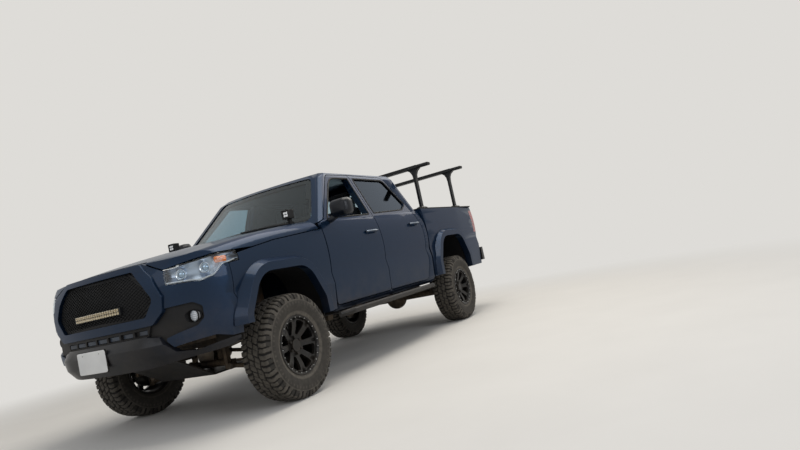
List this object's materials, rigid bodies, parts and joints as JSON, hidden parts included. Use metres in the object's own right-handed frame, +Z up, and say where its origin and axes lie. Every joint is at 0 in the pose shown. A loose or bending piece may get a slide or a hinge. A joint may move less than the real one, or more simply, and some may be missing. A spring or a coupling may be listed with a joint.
{
  "type": "lifted off-road double-cab pickup truck",
  "caption": "Lifted double-cab pickup truck with all-terrain tyres, short bed with a load rack, rock sliders and opening doors, hood and tailgate.",
  "frame": {"origin": "on the ground, under the middle of the overall length and width", "axes": "+X forward, +Y to the vehicle's left, +Z up"},
  "size_m": [5.392, 2.22, 1.94],
  "materials": {
    "body_paint": "metallic gloss",
    "black_frame": "satin",
    "black_metal": "textured matte",
    "black_wheel": "satin",
    "cast_metal": "rough",
    "steel": "dull",
    "aluminium": "satin",
    "tyre": "dusty rubber",
    "black_plastic": "matte",
    "dark_plastic": "semi-gloss",
    "seat_fabric": "woven",
    "clear_glass": "clear",
    "tinted_glass": "tinted",
    "lamp_lens": "clear",
    "red_lens": "gloss"
  },
  "bodies": {
    "chassis": {"frame_rails": "black_frame", "engine_and_gearbox": "cast_metal", "radiator": "aluminium", "drive_shafts": "steel", "exhaust": "steel", "fuel_tank": "black_plastic", "front_suspension": "black_frame", "rear_axle": "black_frame", "rear_springs": "black_frame", "spare_tyre": "tyre", "spare_rim": "black_wheel", "bed_sides": "body_paint", "tail_lamps": "red_lens", "bed_tub": "black_plastic", "bed_rails": "black_plastic", "rear_bumper": "black_metal", "hitch": "black_frame", "seats": "seat_fabric", "dashboard": "black_plastic", "steering_wheel": "black_plastic", "cowl_tray": "black_plastic", "cab_shell": "body_paint", "fixed_glass": "clear_glass", "front_fenders": "body_paint", "headlamps": "lamp_lens", "grille_surround": "body_paint", "grille_mesh": "black_plastic", "bumper_cover": "body_paint", "fender_flares": "body_paint", "arch_liners": "black_plastic", "bumper_valance": "dark_plastic", "lower_intake": "black_plastic", "driving_lights": "lamp_lens", "rock_sliders": "black_metal", "skid_plate": "black_metal", "load_rack": "black_metal"},
    "front_left_door": {"door_front_left": "body_paint", "mirror_left": "dark_plastic"},
    "front_right_door": {"door_front_right": "body_paint", "glass_front_right": "clear_glass", "mirror_right": "dark_plastic"},
    "rear_left_door": {"door_rear_left": "body_paint", "glass_rear_left": "tinted_glass"},
    "rear_right_door": {"door_rear_right": "body_paint", "glass_rear_right": "tinted_glass"},
    "hood": {"hood": "body_paint", "ditch_lights": "black_plastic"},
    "tailgate": {"tailgate": "body_paint"},
    "left_knuckle": {"knuckle_left": "cast_metal"},
    "right_knuckle": {"knuckle_right": "cast_metal"},
    "steering_rack": {"tie_rods": "steel"},
    "front_left_wheel": {"tyre_front_left": "tyre", "rim_front_left": "black_wheel"},
    "front_right_wheel": {"tyre_front_right": "tyre", "rim_front_right": "black_wheel"},
    "rear_left_wheel": {"tyre_rear_left": "tyre", "rim_rear_left": "black_wheel"},
    "rear_right_wheel": {"tyre_rear_right": "tyre", "rim_rear_right": "black_wheel"}
  },
  "joints": [
    {"name": "front_left_door_hinge", "type": "hinge", "parent": "chassis", "child": "front_left_door", "pos_m": [1.057, 0.888, 0.9], "axis": [0, 0, -1], "range_deg": [0, 65]},
    {"name": "rear_left_door_hinge", "type": "hinge", "parent": "chassis", "child": "rear_left_door", "pos_m": [0.107, 0.888, 0.9], "axis": [0, 0, -1], "range_deg": [0, 65]},
    {"name": "front_right_door_hinge", "type": "hinge", "parent": "chassis", "child": "front_right_door", "pos_m": [1.057, -0.888, 0.9], "axis": [0, 0, 1], "range_deg": [0, 65]},
    {"name": "rear_right_door_hinge", "type": "hinge", "parent": "chassis", "child": "rear_right_door", "pos_m": [0.107, -0.888, 0.9], "axis": [0, 0, 1], "range_deg": [0, 65]},
    {"name": "hood_hinge", "type": "hinge", "parent": "chassis", "child": "hood", "pos_m": [1.195, 0, 1.32], "axis": [0, -1, 0], "range_deg": [0, 50]},
    {"name": "tailgate_hinge", "type": "hinge", "parent": "chassis", "child": "tailgate", "pos_m": [-2.445, 0, 0.858], "axis": [0, -1, 0], "range_deg": [0, 90]},
    {"name": "left_steer", "type": "hinge", "parent": "chassis", "child": "left_knuckle", "pos_m": [1.761, 0.749, 0.265], "axis": [0, -0.2456, 0.9694], "range_deg": [-30, 30]},
    {"name": "right_steer", "type": "hinge", "parent": "chassis", "child": "right_knuckle", "pos_m": [1.761, -0.749, 0.265], "axis": [0, 0.2456, 0.9694], "range_deg": [-30, 30]},
    {"name": "rack_travel", "type": "slide", "parent": "chassis", "child": "steering_rack", "axis": [0, 1, 0], "range_m": [-0.0734, 0.0734]},
    {"name": "front_left_wheel_spin", "type": "hinge", "parent": "left_knuckle", "child": "front_left_wheel", "pos_m": [1.761, 0.836, 0.39], "axis": [0, 1, 0], "continuous": true},
    {"name": "front_right_wheel_spin", "type": "hinge", "parent": "right_knuckle", "child": "front_right_wheel", "pos_m": [1.761, -0.836, 0.39], "axis": [0, 1, 0], "continuous": true},
    {"name": "rear_left_wheel_spin", "type": "hinge", "parent": "chassis", "child": "rear_left_wheel", "pos_m": [-1.475, 0.836, 0.39], "axis": [0, 1, 0], "continuous": true},
    {"name": "rear_right_wheel_spin", "type": "hinge", "parent": "chassis", "child": "rear_right_wheel", "pos_m": [-1.475, -0.836, 0.39], "axis": [0, 1, 0], "continuous": true}
  ],
  "couplings": [
    {"joint": "right_steer", "follows": "left_steer", "ratio": 1},
    {"joint": "rack_travel", "follows": "left_steer", "m_per_rad": 0.14}
  ]
}
